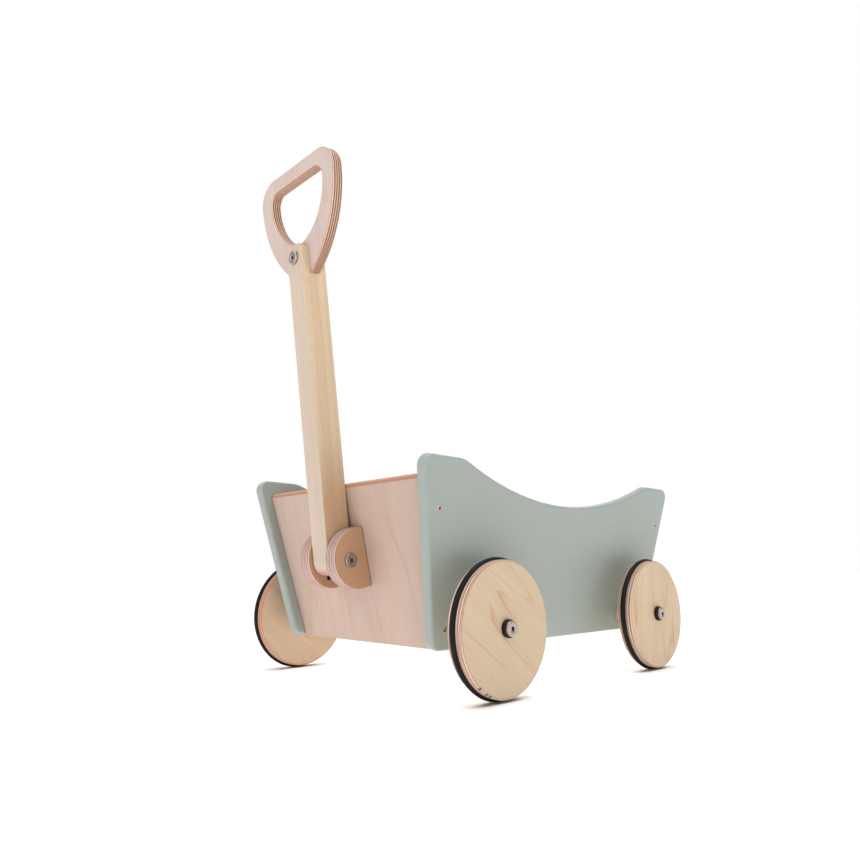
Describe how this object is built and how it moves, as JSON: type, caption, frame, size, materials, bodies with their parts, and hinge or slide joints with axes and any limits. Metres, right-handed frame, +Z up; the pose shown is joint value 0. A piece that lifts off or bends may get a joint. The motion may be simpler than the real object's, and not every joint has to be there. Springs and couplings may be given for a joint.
{
  "type": "push along truck",
  "caption": "Hopper-shaped wooden wagon on plywood wheels with rubber ring tyres, painted scooped sides and a hinged push handle with a loop grip.",
  "frame": {"origin": "on the floor, under the middle of the wagon with its handle leaning at rest", "axes": "+X forward, the way it is pushed, away from the handle; +Y to its left; +Z up"},
  "size_m": [0.5033, 0.3496, 0.5426],
  "materials": {
    "sage_painted_plywood": "satin sage-green paint over plywood",
    "birch_plywood": "clear matt lacquer, laminations bare at the edges",
    "solid_birch": "clear matt lacquer",
    "black_rubber": "matt moulded rubber",
    "black_nylon": "fine matt",
    "stainless_steel": "turned, with a bright chamfer",
    "brass": "plain turned"
  },
  "bodies": {
    "cart": {"axle_front": "solid_birch", "axle_inserts": "brass", "axle_rear": "solid_birch", "ear_left": "birch_plywood", "ear_right": "birch_plywood", "ear_screws": "stainless_steel", "floor_panel": "birch_plywood", "floor_screws": "stainless_steel", "front_panel": "birch_plywood", "pivot_bolt": "stainless_steel", "pivot_nut": "stainless_steel", "pivot_washers": "black_nylon", "rear_panel": "birch_plywood", "side_panel_left": "sage_painted_plywood", "side_panel_right": "sage_painted_plywood", "side_screws_left": "stainless_steel", "side_screws_right": "stainless_steel", "wheel_bolts": "stainless_steel"},
    "handle": {"handle_bar": "solid_birch", "handle_grip": "birch_plywood", "grip_bolt": "stainless_steel", "grip_nut": "stainless_steel"},
    "wheel_rear_right": {"wheel_disc_rear_right": "birch_plywood", "tyre_rear_right": "black_rubber", "hub_bush_rear_right": "black_nylon"},
    "wheel_rear_left": {"wheel_disc_rear_left": "birch_plywood", "tyre_rear_left": "black_rubber", "hub_bush_rear_left": "black_nylon"},
    "wheel_front_right": {"wheel_disc_front_right": "birch_plywood", "tyre_front_right": "black_rubber", "hub_bush_front_right": "black_nylon"},
    "wheel_front_left": {"wheel_disc_front_left": "birch_plywood", "tyre_front_left": "black_rubber", "hub_bush_front_left": "black_nylon"}
  },
  "joints": [
    {"name": "handle_pivot", "type": "hinge", "parent": "cart", "child": "handle", "pos_m": [-0.1872, 0, 0.12436], "axis": [0, -1, 0], "range_deg": [0, 97]},
    {"name": "wheel_rear_right_spin", "type": "hinge", "parent": "cart", "child": "wheel_rear_right", "pos_m": [-0.1165, -0.1595, 0.0632], "axis": [0, 1, 0], "continuous": true},
    {"name": "wheel_rear_left_spin", "type": "hinge", "parent": "cart", "child": "wheel_rear_left", "pos_m": [-0.1165, 0.1595, 0.0632], "axis": [0, 1, 0], "continuous": true},
    {"name": "wheel_front_right_spin", "type": "hinge", "parent": "cart", "child": "wheel_front_right", "pos_m": [0.1615, -0.1595, 0.0632], "axis": [0, 1, 0], "continuous": true},
    {"name": "wheel_front_left_spin", "type": "hinge", "parent": "cart", "child": "wheel_front_left", "pos_m": [0.1615, 0.1595, 0.0632], "axis": [0, 1, 0], "continuous": true}
  ]
}
